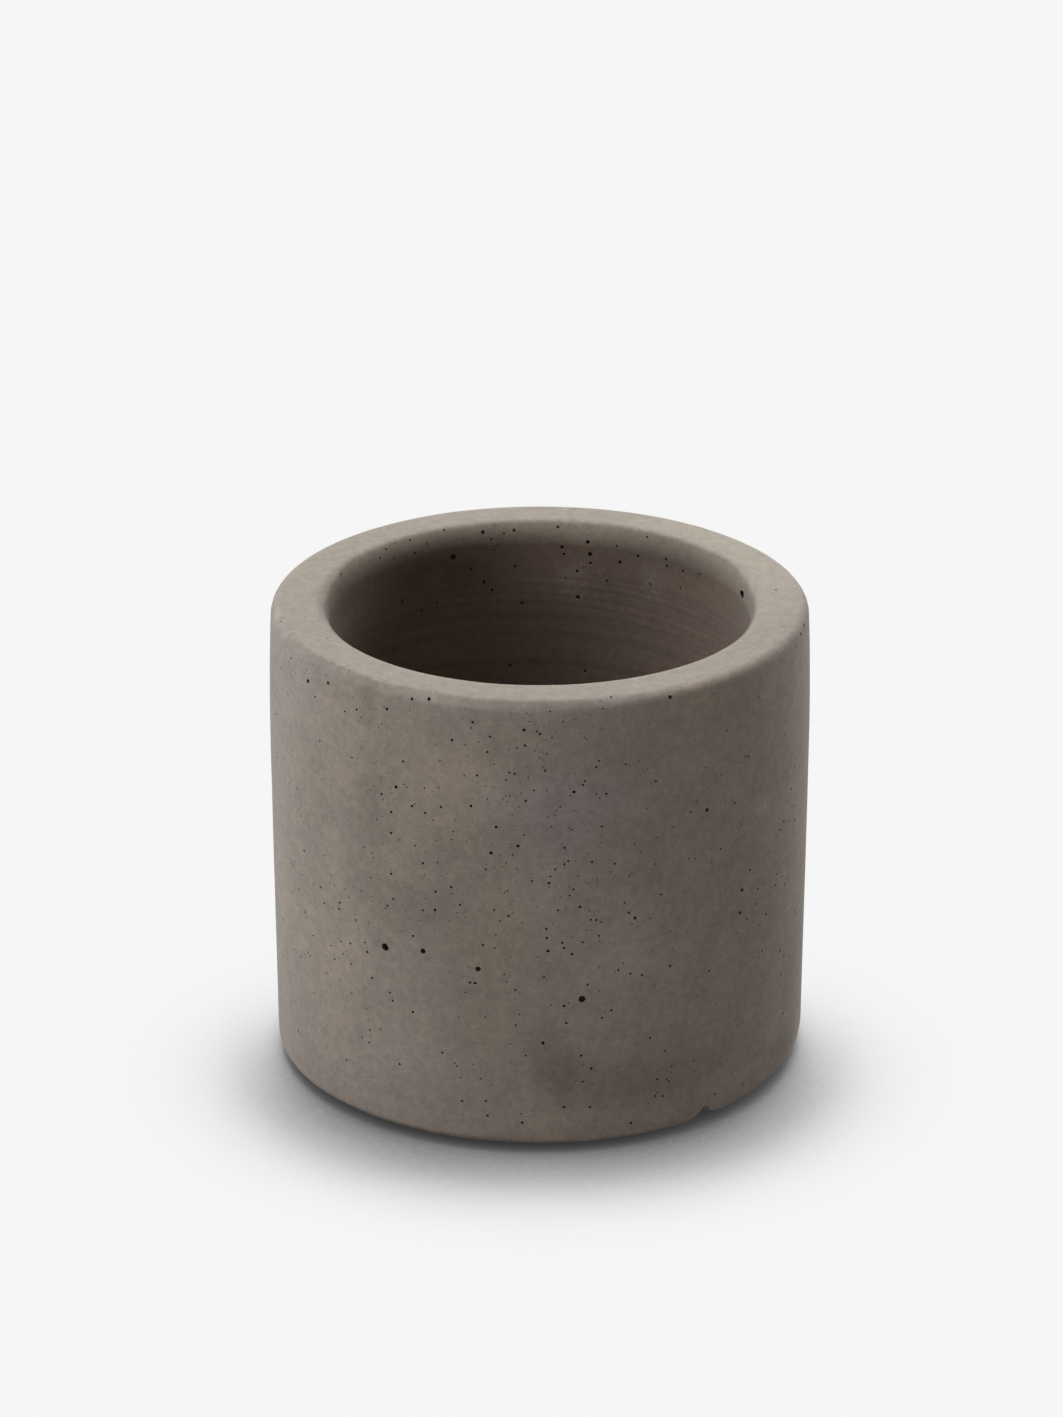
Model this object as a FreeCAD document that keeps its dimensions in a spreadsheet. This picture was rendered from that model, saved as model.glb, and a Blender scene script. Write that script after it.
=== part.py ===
# Round plant pot of cast concrete, with a lift-out rubber drain plug and stick-on rubber feet.
# Millimetres, +Z up. The origin is on the floor, under the middle of the pot.
import FreeCAD, Part
import math
import os

import Sketcher

# Driving dimensions: alias, value, what it measures.
SIZES = (
    ("pot_height", 122.5, "concrete from underside to rim, without the feet"),
    ("body_diameter", 140, "outside, at the shoulder where the wall is widest"),
    ("shoulder_drop", 41.5, "rim down to the shoulder"),
    ("base_draw_in", 0.8, "how far the wall leans in from the shoulder to the base, on the radius"),
    ("rim_draw_in", 0.8, "how far the wall bows in from the shoulder to the rim, on the radius"),
    ("wall", 15, "wall at the rim, before its edges are rounded"),
    ("floor_thickness", 14, "concrete under the cavity"),
    ("rim_outer_round", 3, "radius of the outer edge of the rim"),
    ("rim_inner_round", 3.5, "radius of the inner edge of the rim"),
    ("floor_bevel", 6, "chamfer where the inside wall meets the cavity floor"),
    ("base_bevel", 2, "chamfer of the edge of the underside"),
    ("drain_diameter", 12, "drain hole through the floor"),
    ("drain_break", 0.8, "chamfer of both edges of the drain hole"),
    ("plug_clearance", 0.2, "between the plug's ribs and the drain hole, on the radius"),
    ("plug_head_overlap", 6, "flange on the cavity floor beyond the drain hole, on the radius"),
    ("plug_head_thickness", 2.5, "thickness of the flange"),
    ("plug_head_bevel", 0.8, "chamfer of the flange's upper edge"),
    ("plug_grip_diameter", 9, "knob to pull the plug by"),
    ("plug_grip_height", 6, "knob above the flange"),
    ("plug_grip_bevel", 1, "chamfer of the knob's upper edge"),
    ("plug_tip_recess", 1.5, "plug tip above the pot's underside"),
    ("plug_rib_height", 0.7, "sealing rib above the stem"),
    ("plug_rib_slope", 2.4, "sloping side of a sealing rib, along the stem"),
    ("plug_rib_count", 2, "sealing ribs"),
    ("plug_rib_first", 2.5, "flange to the flat side of the first rib"),
    ("plug_rib_last", 4.5, "flat side of the last rib to the plug's tip"),
    ("foot_height", 2, "rubber foot, which is the pot's gap to the floor"),
    ("foot_diameter", 18, "rubber foot, a plain disc"),
    ("foot_inset", 18, "edge of the underside to the middle of a foot"),
    ("foot_first_angle", 45, "direction of the first foot from +X, in degrees"),
    ("foot_count", 4, "feet, evenly spaced"),
)
EDGE_TOLERANCE = 0.001

# Lengths that follow from the driving dimensions, as sheet formulas.
SHOULDER_RADIUS = "Dims.body_diameter / 2"
BASE_RADIUS = f"({SHOULDER_RADIUS} - Dims.base_draw_in)"
RIM_RADIUS = f"({SHOULDER_RADIUS} - Dims.rim_draw_in)"
SHOULDER_HEIGHT = "(Dims.pot_height - Dims.shoulder_drop)"
MOUTH_RADIUS = f"({RIM_RADIUS} - Dims.wall)"
DRAIN_RADIUS = "Dims.drain_diameter / 2"
RIB_RADIUS = f"({DRAIN_RADIUS} - Dims.plug_clearance)"
STEM_RADIUS = f"({RIB_RADIUS} - Dims.plug_rib_height)"
STEM_LENGTH = "(Dims.floor_thickness - Dims.plug_tip_recess)"
RIB_SPAN = f"({STEM_LENGTH} - Dims.plug_rib_first - Dims.plug_rib_last)"
HEAD_RADIUS = f"({DRAIN_RADIUS} + Dims.plug_head_overlap)"
GRIP_RADIUS = "Dims.plug_grip_diameter / 2"
GRIP_TOP = "(Dims.plug_head_thickness + Dims.plug_grip_height)"
FOOT_RADIUS = "Dims.foot_diameter / 2"
FOOT_CIRCLE_RADIUS = f"({BASE_RADIUS} - Dims.foot_inset)"

doc = FreeCAD.newDocument("plant_pot")
sheet = doc.addObject("Spreadsheet::Sheet", "Dims")
for row, (alias, size, meaning) in enumerate(SIZES, 1):
    sheet.set(f"A{row}", meaning)
    sheet.set(f"B{row}", str(size))
    sheet.setAlias(f"B{row}", alias)
doc.recompute()


# A sheet formula as a plain number.
def value(formula):
    result = sheet.evalExpression(formula)
    return float(getattr(result, "Value", result))


def new_body(label):
    body = doc.addObject("PartDesign::Body", label)
    body.Label = label
    return body


# A sketch in one of the body's own planes.
def new_sketch(body, role, name):
    plane = next(f for f in body.Origin.OriginFeatures if f.Role == role)
    sketch = body.newObject("Sketcher::SketchObject", name)
    sketch.AttachmentSupport = [(plane, "")]
    sketch.MapMode = "FlatFace"
    return sketch


# Adds a dimension to a sketch and ties it to a sheet formula.
def tie(sketch, name, formula, kind, *where):
    index = sketch.addConstraint(Sketcher.Constraint(kind, *where, value(formula)))
    sketch.renameConstraint(index, name)
    sketch.setExpression(f"Constraints.{name}", formula)


# Ties the start of a sketch edge to a point given by two formulas, measured from the body's axis and base.
def tie_start(sketch, edge, name, x, z):
    tie(sketch, f"{name}_x", x, "DistanceX", -1, 1, edge, 1)
    tie(sketch, f"{name}_z", z, "DistanceY", -1, 1, edge, 1)


# A closed outline of straight lines through points given as (name, x formula, z formula).
def straight_outline(sketch, corners):
    places = [FreeCAD.Vector(value(x), value(z), 0) for _, x, z in corners]
    edges = []
    for start, end in zip(places, places[1:] + places[:1]):
        edges.append(sketch.addGeometry(Part.LineSegment(start, end)))
    for edge, following in zip(edges, edges[1:] + edges[:1]):
        sketch.addConstraint(Sketcher.Constraint("Coincident", edge, 2, following, 1))
    for edge, (name, x, z) in zip(edges, corners):
        tie_start(sketch, edge, name, x, z)


# The direction from one sketch point to another, in radians.
def direction(start, end):
    return math.atan2(end.y - start.y, end.x - start.x)


# An arc between two directions from its centre.
def arc(centre, radius, start, end):
    return Part.ArcOfCircle(Part.Circle(centre, FreeCAD.Vector(0, 0, 1), radius), start, end)


# Turns a sketch about the body's vertical axis, adding material or, as a groove, taking it away.
def turned(body, kind, name, sketch):
    feature = body.newObject(f"PartDesign::{kind}", name)
    feature.Profile = sketch
    feature.ReferenceAxis = (sketch, ["V_Axis"])
    feature.Angle = 360
    doc.recompute()
    return feature


# The names of a feature's round edges with that radius at that height in its body's own frame.
def ring_edges(feature, radius, height):
    names = []
    for number, edge in enumerate(feature.Shape.Edges, 1):
        if not isinstance(edge.Curve, Part.Circle):
            continue
        off_radius = abs(edge.Curve.Radius - value(radius))
        off_height = abs(edge.Curve.Center.z - value(height))
        if max(off_radius, off_height) < EDGE_TOLERANCE:
            names.append(f"Edge{number}")
    if not names:
        raise RuntimeError(f"{feature.Label} has no ring edge at {radius}, {height}")
    return names


# Rounds or bevels one ring edge of the body's latest feature.
def dress(body, kind, name, radius, height, size):
    base = body.Tip
    feature = body.newObject(f"PartDesign::{kind}", name)
    feature.Base = (base, ring_edges(base, radius, height))
    feature.setExpression("Radius" if kind == "Fillet" else "Size", size)
    doc.recompute()


# The outside of the pot: a wall that leans out to the shoulder, then bows in on a tangent arc.
# The arc aims at the rim's corner, which a smaller tangent arc rounds off.
def pot_outside(body):
    sketch = new_sketch(body, "XZ_Plane", "outside_outline")
    centre_base = FreeCAD.Vector(0, 0, 0)
    base_edge = FreeCAD.Vector(value(BASE_RADIUS), 0, 0)
    shoulder = FreeCAD.Vector(value(SHOULDER_RADIUS), value(SHOULDER_HEIGHT), 0)
    rim_corner = FreeCAD.Vector(value(RIM_RADIUS), value("Dims.pot_height"), 0)
    centre_rim = FreeCAD.Vector(0, rim_corner.y, 0)

    lean = (shoulder - base_edge).normalize()
    inward = FreeCAD.Vector(-lean.y, lean.x, 0)
    chord = rim_corner - shoulder
    bow_radius = chord.Length**2 / (2 * chord.dot(inward))
    bow_centre = shoulder + inward * bow_radius

    round_radius = value("Dims.rim_outer_round")
    round_height = rim_corner.y - round_radius
    round_reach = math.sqrt((bow_radius - round_radius)**2 - (round_height - bow_centre.y)**2)
    round_centre = FreeCAD.Vector(bow_centre.x + round_reach, round_height, 0)
    round_top = FreeCAD.Vector(round_centre.x, rim_corner.y, 0)
    meeting = direction(bow_centre, round_centre)

    underside = sketch.addGeometry(Part.LineSegment(centre_base, base_edge))
    wall = sketch.addGeometry(Part.LineSegment(base_edge, shoulder))
    bow = sketch.addGeometry(arc(bow_centre, bow_radius, direction(bow_centre, shoulder), meeting))
    rim_round = sketch.addGeometry(arc(round_centre, round_radius, meeting, math.pi / 2))
    top = sketch.addGeometry(Part.LineSegment(round_top, centre_rim))
    axis = sketch.addGeometry(Part.LineSegment(centre_rim, centre_base))
    corner = sketch.addGeometry(Part.Point(rim_corner), True)
    for rule in (
        ("Coincident", underside, 1, -1, 1),
        ("Coincident", underside, 2, wall, 1),
        ("Tangent", wall, 2, bow, 1),
        ("Tangent", bow, 2, rim_round, 1),
        ("Tangent", rim_round, 2, top, 1),
        ("Coincident", top, 2, axis, 1),
        ("Coincident", axis, 2, underside, 1),
        ("PointOnObject", corner, 1, bow),
        ("Horizontal", underside),
        ("Horizontal", top),
        ("Vertical", axis),
    ):
        sketch.addConstraint(Sketcher.Constraint(*rule))
    tie(sketch, "base_radius", BASE_RADIUS, "DistanceX", -1, 1, wall, 1)
    tie_start(sketch, bow, "shoulder", SHOULDER_RADIUS, SHOULDER_HEIGHT)
    tie_start(sketch, corner, "rim_corner", RIM_RADIUS, "Dims.pot_height")
    tie(sketch, "rim_height", "Dims.pot_height", "DistanceY", -1, 1, top, 1)
    tie(sketch, "rim_outer_round", "Dims.rim_outer_round", "Radius", rim_round)
    return turned(body, "Revolution", "outside", sketch)


# The planting space, a straight cup cut from the rim down to the floor.
def pot_cavity(body):
    sketch = new_sketch(body, "XZ_Plane", "cavity_outline")
    straight_outline(
        sketch,
        (
            ("floor_middle", "0", "Dims.floor_thickness"),
            ("floor_edge", MOUTH_RADIUS, "Dims.floor_thickness"),
            ("mouth_edge", MOUTH_RADIUS, "Dims.pot_height"),
            ("mouth_middle", "0", "Dims.pot_height"),
        ),
    )
    return turned(body, "Groove", "cavity", sketch)


# The drain hole through the middle of the floor.
def pot_drain(body):
    sketch = new_sketch(body, "XY_Plane", "drain_outline")
    ring = Part.Circle(FreeCAD.Vector(0, 0, 0), FreeCAD.Vector(0, 0, 1), value(DRAIN_RADIUS))
    hole = sketch.addGeometry(ring)
    sketch.addConstraint(Sketcher.Constraint("Coincident", hole, 3, -1, 1))
    tie(sketch, "drain_diameter", "Dims.drain_diameter", "Diameter", hole)
    drain = body.newObject("PartDesign::Pocket", "drain")
    drain.Profile = sketch
    drain.Type = "Length"
    drain.Reversed = True
    drain.setExpression("Length", "Dims.floor_thickness")
    doc.recompute()
    return drain


# The concrete pot, standing on its feet. Each cut has to take material away.
def make_pot():
    body = new_body("pot_body")
    body.setExpression("Placement.Base.z", "Dims.foot_height")
    solid = pot_outside(body).Shape.Volume
    cupped = pot_cavity(body).Shape.Volume
    drained = pot_drain(body).Shape.Volume
    if not solid > cupped > drained:
        raise RuntimeError("the cavity or the drain cut nothing out of the pot")
    dress(body, "Chamfer", "drain_top_break", DRAIN_RADIUS, "Dims.floor_thickness", "Dims.drain_break")
    dress(body, "Chamfer", "drain_bottom_break", DRAIN_RADIUS, "0", "Dims.drain_break")
    dress(body, "Chamfer", "floor_corner", MOUTH_RADIUS, "Dims.floor_thickness", "Dims.floor_bevel")
    dress(body, "Chamfer", "underside_edge", BASE_RADIUS, "0", "Dims.base_bevel")
    dress(body, "Fillet", "rim_inner_edge", MOUTH_RADIUS, "Dims.pot_height", "Dims.rim_inner_round")
    return body


# One sealing rib, flat towards the flange and sloping towards the tip, repeated down the stem.
def plug_ribs(body):
    sketch = new_sketch(body, "XZ_Plane", "rib_outline")
    inside_stem = f"({STEM_RADIUS} - Dims.plug_rib_height)"
    flat_side = "-Dims.plug_rib_first"
    slope_end = f"({flat_side} - Dims.plug_rib_slope)"
    straight_outline(
        sketch,
        (
            ("root_low", inside_stem, slope_end),
            ("slope_low", STEM_RADIUS, slope_end),
            ("crest", RIB_RADIUS, flat_side),
            ("root_high", inside_stem, flat_side),
        ),
    )
    rib = turned(body, "Revolution", "rib", sketch)
    ribs = body.newObject("PartDesign::LinearPattern", "ribs")
    ribs.Originals = [rib]
    ribs.Direction = (sketch, ["V_Axis"])
    ribs.Reversed = True
    ribs.setExpression("Length", RIB_SPAN)
    ribs.setExpression("Occurrences", "Dims.plug_rib_count")
    body.Tip = ribs
    doc.recompute()
    if not ribs.Shape.Volume > rib.Shape.Volume:
        raise RuntimeError("the plug's ribs were not repeated")


# The rubber drain plug: a stem in the drain hole, a flange on the cavity floor and a knob to pull it by.
# Its own frame has its origin in the middle of the flange's underside.
def make_plug():
    body = new_body("drain_plug")
    body.setExpression("Placement.Base.z", "Dims.foot_height + Dims.floor_thickness")
    sketch = new_sketch(body, "XZ_Plane", "plug_outline")
    straight_outline(
        sketch,
        (
            ("tip_middle", "0", f"-{STEM_LENGTH}"),
            ("tip_edge", STEM_RADIUS, f"-{STEM_LENGTH}"),
            ("stem_root", STEM_RADIUS, "0"),
            ("flange_low", HEAD_RADIUS, "0"),
            ("flange_high", HEAD_RADIUS, "Dims.plug_head_thickness"),
            ("grip_root", GRIP_RADIUS, "Dims.plug_head_thickness"),
            ("grip_edge", GRIP_RADIUS, GRIP_TOP),
            ("grip_middle", "0", GRIP_TOP),
        ),
    )
    turned(body, "Revolution", "plug_form", sketch)
    plug_ribs(body)
    dress(body, "Chamfer", "flange_edge", HEAD_RADIUS, "Dims.plug_head_thickness", "Dims.plug_head_bevel")
    dress(body, "Chamfer", "grip_edge", GRIP_RADIUS, GRIP_TOP, "Dims.plug_grip_bevel")
    return body


# One stick-on rubber foot, from the floor up to the pot's underside.
def make_foot(number):
    body = new_body(f"foot_{number}")
    turn = f"(Dims.foot_first_angle + 360 / Dims.foot_count * {number - 1}) * 1 deg"
    body.setExpression("Placement.Base.x", f"{FOOT_CIRCLE_RADIUS} * cos({turn})")
    body.setExpression("Placement.Base.y", f"{FOOT_CIRCLE_RADIUS} * sin({turn})")
    sketch = new_sketch(body, "XZ_Plane", f"foot_{number}_outline")
    straight_outline(
        sketch,
        (
            ("floor_middle", "0", "0"),
            ("floor_edge", FOOT_RADIUS, "0"),
            ("stuck_edge", FOOT_RADIUS, "Dims.foot_height"),
            ("stuck_middle", "0", "Dims.foot_height"),
        ),
    )
    turned(body, "Revolution", f"foot_{number}_form", sketch)
    return body


pieces = [make_pot(), make_plug()]
for number in range(1, int(value("Dims.foot_count")) + 1):
    pieces.append(make_foot(number))
doc.recompute()

failed = [item.Label for item in doc.Objects if {"Invalid", "Error"} & set(item.State)]
if failed:
    raise RuntimeError(f"these objects did not build: {failed}")
for piece in pieces:
    if piece.Shape.isNull() or not piece.Shape.isValid():
        raise RuntimeError(f"{piece.Label} has no valid shape")

os.makedirs("parts", exist_ok=True)
for piece in pieces:
    piece.Shape.exportStep(f"parts/{piece.Label}.step")
    box = piece.Shape.BoundBox
    print(f"{piece.Label}: {piece.Shape.Volume / 1000:.2f} cm3, z {box.ZMin:.2f} to {box.ZMax:.2f}")
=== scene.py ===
import math
import random

import bpy
import bmesh
import numpy as np
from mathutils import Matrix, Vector, noise
from mathutils.bvhtree import BVHTree


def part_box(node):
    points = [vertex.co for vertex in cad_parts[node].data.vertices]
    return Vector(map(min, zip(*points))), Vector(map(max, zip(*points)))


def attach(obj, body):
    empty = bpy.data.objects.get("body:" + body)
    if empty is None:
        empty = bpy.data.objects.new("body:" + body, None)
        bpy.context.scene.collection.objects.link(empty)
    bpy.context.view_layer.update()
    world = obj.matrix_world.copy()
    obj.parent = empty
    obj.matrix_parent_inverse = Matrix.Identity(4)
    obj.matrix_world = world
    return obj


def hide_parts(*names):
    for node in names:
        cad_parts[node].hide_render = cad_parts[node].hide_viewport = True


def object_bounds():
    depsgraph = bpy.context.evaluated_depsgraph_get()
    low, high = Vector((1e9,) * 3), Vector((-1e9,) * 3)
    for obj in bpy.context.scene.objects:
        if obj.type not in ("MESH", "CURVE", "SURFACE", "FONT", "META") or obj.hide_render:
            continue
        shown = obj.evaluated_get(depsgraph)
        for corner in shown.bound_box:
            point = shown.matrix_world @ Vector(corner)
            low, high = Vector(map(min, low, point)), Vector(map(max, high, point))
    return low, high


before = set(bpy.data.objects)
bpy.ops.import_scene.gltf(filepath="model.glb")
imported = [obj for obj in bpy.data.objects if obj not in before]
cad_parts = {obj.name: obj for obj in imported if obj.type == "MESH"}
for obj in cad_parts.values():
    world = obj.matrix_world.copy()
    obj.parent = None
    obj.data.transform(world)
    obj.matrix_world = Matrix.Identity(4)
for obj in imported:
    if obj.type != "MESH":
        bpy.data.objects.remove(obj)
cadLow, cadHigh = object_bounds()
potLow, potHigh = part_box("pot_body")
plugLow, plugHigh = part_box("drain_plug")
footNames = sorted(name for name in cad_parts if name.startswith("foot_"))
mm = 0.001
print("frame loaded:", sorted(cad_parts))


def addObject(name, data):
    made = bpy.data.objects.new(name, data)
    bpy.context.scene.collection.objects.link(made)
    return made


# small helpers for node trees
def addNode(tree, kind, inputs=None, **settings):
    made = tree.nodes.new(kind)
    for name, value in settings.items():
        setattr(made, name, value)
    for name, value in (inputs or {}).items():
        feed(tree, value, made.inputs[name])
    return made


def feed(tree, value, socket):
    if isinstance(value, bpy.types.NodeSocket):
        tree.links.new(value, socket)
    elif socket.type == "RGBA":
        socket.default_value = (*value, 1.0)
    else:
        socket.default_value = value


def calc(tree, operation, first, second=0.0, clamp=False):
    made = addNode(tree, "ShaderNodeMath", {0: first, 1: second}, operation=operation, use_clamp=clamp)
    return made.outputs[0]


def plus(tree, first, second, clamp=False):
    return calc(tree, "ADD", first, second, clamp)


def times(tree, first, second):
    return calc(tree, "MULTIPLY", first, second)


def vectorCalc(tree, operation, first, second):
    made = addNode(tree, "ShaderNodeVectorMath", {0: first, 1: second}, operation=operation)
    return made.outputs["Vector"]


def lengthOf(tree, vector):
    return addNode(tree, "ShaderNodeVectorMath", {0: vector}, operation="LENGTH").outputs["Value"]


def joined(tree, x, y, z):
    return addNode(tree, "ShaderNodeCombineXYZ", {"X": x, "Y": y, "Z": z}).outputs[0]


def stretch(tree, value, low, high, toLow=0.0, toHigh=1.0):
    sockets = {"Value": value, "From Min": low, "From Max": high, "To Min": toLow, "To Max": toHigh}
    made = addNode(tree, "ShaderNodeMapRange", sockets, interpolation_type="SMOOTHSTEP")
    return made.outputs["Result"]


def tint(tree, factor, first, second, blend="MIX"):
    sockets = {0: factor, 6: first, 7: second}  # the node's colour sockets share their names with others
    made = addNode(tree, "ShaderNodeMix", sockets, data_type="RGBA", blend_type=blend)
    return made.outputs[2]


def dimmed(tree, colour, level):
    return vectorCalc(tree, "MULTIPLY", colour, grey(tree, level))


def grey(tree, level):
    return joined(tree, level, level, level)


def mixedShader(tree, share, first, second):
    return addNode(tree, "ShaderNodeMixShader", {0: share, 1: first.outputs[0], 2: second.outputs[0]})


def show(tree, shader, kind="Material"):
    output = addNode(tree, f"ShaderNodeOutput{kind}")
    tree.links.new(shader.outputs[0], output.inputs["Surface"])


def showSolid(tree, colour, rough, normal, more=None):
    sockets = {"Base Color": colour, "Roughness": rough, "Normal": normal, **(more or {})}
    show(tree, addNode(tree, "ShaderNodeBsdfPrincipled", sockets))


def newMaterial(name):
    material = bpy.data.materials.new(name)
    material.use_nodes = True
    tree = material.node_tree
    tree.nodes.clear()
    return material, tree


def newGroup(name, inputs, outputs):
    tree = bpy.data.node_groups.new(name, "ShaderNodeTree")
    for label, value in inputs.items():
        kind = "NodeSocketVector" if isinstance(value, tuple) else "NodeSocketFloat"
        tree.interface.new_socket(name=label, in_out="INPUT", socket_type=kind).default_value = value
    for label in outputs:
        tree.interface.new_socket(name=label, in_out="OUTPUT", socket_type="NodeSocketFloat")
    return tree, addNode(tree, "NodeGroupInput").outputs, addNode(tree, "NodeGroupOutput").inputs


def spotOf(tree):
    return addNode(tree, "ShaderNodeTexCoord").outputs["Object"]


def placeGroup(tree, group, inputs):
    return addNode(tree, "ShaderNodeGroup", inputs, node_tree=group).outputs


# camera, fitted to the pot's outline in the photograph
cameraView = {
    "photoSize": (1063, 1417),  # pixels
    "distance": 1.5,  # metres from the aim
    "aimHeight": 60 * mm,  # above the pot's underside
    "elevation": 23.98,  # degrees
    "tiltUp": 1.12,
    "turnRight": -0.083,
    "lens": 145.62,
    "sensor": 36.0,  # the photograph's long side
}


def makeCamera(view):
    data = bpy.data.cameras.new("photoCamera")
    data.lens = view["lens"]
    data.sensor_width = view["sensor"]
    camera = addObject("photoCamera", data)
    bpy.context.scene.camera = camera
    rise = math.radians(view["elevation"])
    dip = rise - math.radians(view["tiltUp"])
    turn = math.radians(view["turnRight"])
    aim = Vector((0, 0, potLow.z + view["aimHeight"]))
    camera.location = aim + view["distance"] * Vector((0, -math.cos(rise), math.sin(rise)))
    forward = Vector((math.sin(turn), math.cos(turn) * math.cos(dip), -math.cos(turn) * math.sin(dip)))
    camera.rotation_mode = "QUATERNION"
    camera.rotation_quaternion = forward.to_track_quat("-Z", "Y")
    return camera


# from the camera through a pixel of the photograph
def photoRay(pixel):
    width, height = cameraView["photoSize"]
    focal = cameraView["lens"] / cameraView["sensor"] * height
    ray = Vector((pixel[0] - width / 2, height / 2 - pixel[1], -focal))
    return camera.location.copy(), (camera.rotation_quaternion @ ray).normalized()


camera = makeCamera(cameraView)
print("camera set")


# studio: pale floor with a soft contact shadow, three soft lamps and a dim room
studio = {
    "pale": 0.922,  # the photograph's background
    "floorHalf": 4.0,  # metres
    "floorDrop": 0.1 * mm,
    "bounceColour": (0.15, 0.14, 0.13),  # what the pot sees of the floor
    # open skies that the shadow is measured against: which way, how far, and how much each lightens
    # the floor; of a sky to one side and its mirror image the darker one counts
    "skies": {
        "behind": dict(lean=(0.0, 0.647, 0.762), reach=90 * mm, weight=4.28),
        "aslant": dict(lean=(0.577, 0.577, 0.577), reach=60 * mm, weight=4.06),
        "above": dict(lean=(0.0, 0.0, 1.0), reach=14 * mm, weight=-0.75),
    },
    "skySamples": 14,
    "shadowShift": -3.85,
    "shadowDarkest": 0.02,
    "creep": 0.23,  # light that creeps in under the base edge
    "roomColour": (1.0, 0.93, 0.86),
    "roomStrength": 0.11,
}
# watts, metres away, degrees round the pot from the camera to the right, degrees up, metres across and tall
lamps = {
    "keyLamp": dict(watts=13.0, away=1.2, bearing=-88, rise=51, size=(1.0, 1.0), colour=(1, 1, 1)),
    "backLamp": dict(watts=2.6, away=0.75, bearing=140, rise=28, size=(0.45, 0.45), colour=(1, 0.96, 0.92)),
    "frontLamp": dict(watts=1.7, away=1.2, bearing=10, rise=3, size=(0.8, 0.2), colour=(1, 0.91, 0.82)),
}


# floor and room are pale where they are looked at, and dim for the light that falls on the pot
def seenStraight(tree):
    path = addNode(tree, "ShaderNodeLightPath").outputs
    seen = plus(tree, path["Is Camera Ray"], path["Is Glossy Ray"], clamp=True)
    return plus(tree, seen, path["Is Transmission Ray"], clamp=True)


# how open a spot is to one part of the sky
def openSky(tree, sky):
    across, back, up = sky["lean"]
    darker = 1.0
    for side in sorted({across, -across}):
        sockets = {"Distance": sky["reach"], "Normal": joined(tree, side, back, up)}
        seen = addNode(tree, "ShaderNodeAmbientOcclusion", sockets, samples=studio["skySamples"])
        darker = calc(tree, "MINIMUM", darker, seen.outputs["AO"])
    return darker


# a smooth step from the darkest to pale as a spot lies more open, and a little light under the base edge
def floorTone(tree):
    step = studio["shadowShift"]
    seen = {name: openSky(tree, sky) for name, sky in studio["skies"].items()}
    for name, sky in studio["skies"].items():
        step = plus(tree, step, times(tree, seen[name], sky["weight"]))
    darkest = studio["shadowDarkest"]
    half = (1 - darkest) / 2
    tone = plus(tree, times(tree, calc(tree, "TANH", step), half), 1 - half)
    crept = plus(tree, times(tree, seen["above"], studio["creep"]), darkest)
    return calc(tree, "MAXIMUM", tone, crept)


def floorMaterial():
    material, tree = newMaterial("paleFloor")
    sockets = {"Color": grey(tree, floorTone(tree)), "Strength": studio["pale"]}
    shown = addNode(tree, "ShaderNodeEmission", sockets)
    bounce = addNode(tree, "ShaderNodeBsdfDiffuse", {"Color": studio["bounceColour"]})
    top = mixedShader(tree, seenStraight(tree), bounce, shown)
    clear = addNode(tree, "ShaderNodeBsdfTransparent")
    behind = addNode(tree, "ShaderNodeNewGeometry").outputs["Backfacing"]
    show(tree, mixedShader(tree, behind, top, clear))
    return material


def makeFloor():
    half = studio["floorHalf"]
    corners = [(-half, -half, 0), (half, -half, 0), (half, half, 0), (-half, half, 0)]
    mesh = bpy.data.meshes.new("floor")
    mesh.from_pydata(corners, [], [(0, 1, 2, 3)])
    mesh.materials.append(floorMaterial())
    floor = addObject("floor", mesh)
    floor.location.z = cadLow.z - studio["floorDrop"]


def makeRoom():
    world = bpy.data.worlds.new("room")
    bpy.context.scene.world = world
    world.use_nodes = True
    tree = world.node_tree
    tree.nodes.clear()
    pale = (studio["pale"],) * 3
    shown = addNode(tree, "ShaderNodeBackground", {"Color": pale, "Strength": 1.0})
    sockets = {"Color": studio["roomColour"], "Strength": studio["roomStrength"]}
    dim = addNode(tree, "ShaderNodeBackground", sockets)
    both = mixedShader(tree, seenStraight(tree), dim, shown)
    show(tree, both, "World")


def makeLamp(name, watts, away, bearing, rise, size, colour):
    data = bpy.data.lights.new(name, "AREA")
    data.energy = watts
    data.shape = "RECTANGLE"
    data.size, data.size_y = size
    data.color = colour
    lamp = addObject(name, data)
    turn, up = math.radians(bearing), math.radians(rise)
    outward = Vector((math.sin(turn) * math.cos(up), -math.cos(turn) * math.cos(up), math.sin(up)))
    middle = (potLow + potHigh) / 2
    lamp.location = middle + outward * away
    lamp.rotation_mode = "QUATERNION"
    lamp.rotation_quaternion = (-outward).to_track_quat("-Z", "Y")


makeFloor()
makeRoom()
for lampName, lampSetting in lamps.items():
    makeLamp(lampName, **lampSetting)
bpy.context.scene.view_settings.view_transform = "Standard"
print("studio lit")


# turned pieces: a section of (part, radius, height) rows, run round the upright axis
sameSpot = 1e-7  # metres between points that count as one
axisGap = 0.2 * mm  # solid pieces close with a small cap round the axis
upright = Vector((0, 0, 1))


def arcPoints(centre, radius, start, end, steps):
    points = []
    for step in range(steps + 1):
        angle = math.radians(start + (end - start) * step / steps)
        points.append((centre[0] + radius * math.cos(angle), centre[1] + radius * math.sin(angle)))
    return points


def linePoints(start, end, spacing):
    length = math.dist(start, end)
    count = max(1, round(length / spacing))
    points = []
    for step in range(count + 1):
        share = step / count
        points.append((start[0] + (end[0] - start[0]) * share, start[1] + (end[1] - start[1]) * share))
    return points


# rows from named stretches of points, without doubles
def sectionRows(stretches):
    rows = []
    for part, points in stretches:
        for point in points:
            if not rows or math.dist(point, rows[-1][1:]) > sameSpot:
                rows.append((part, *point))
    return rows


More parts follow.
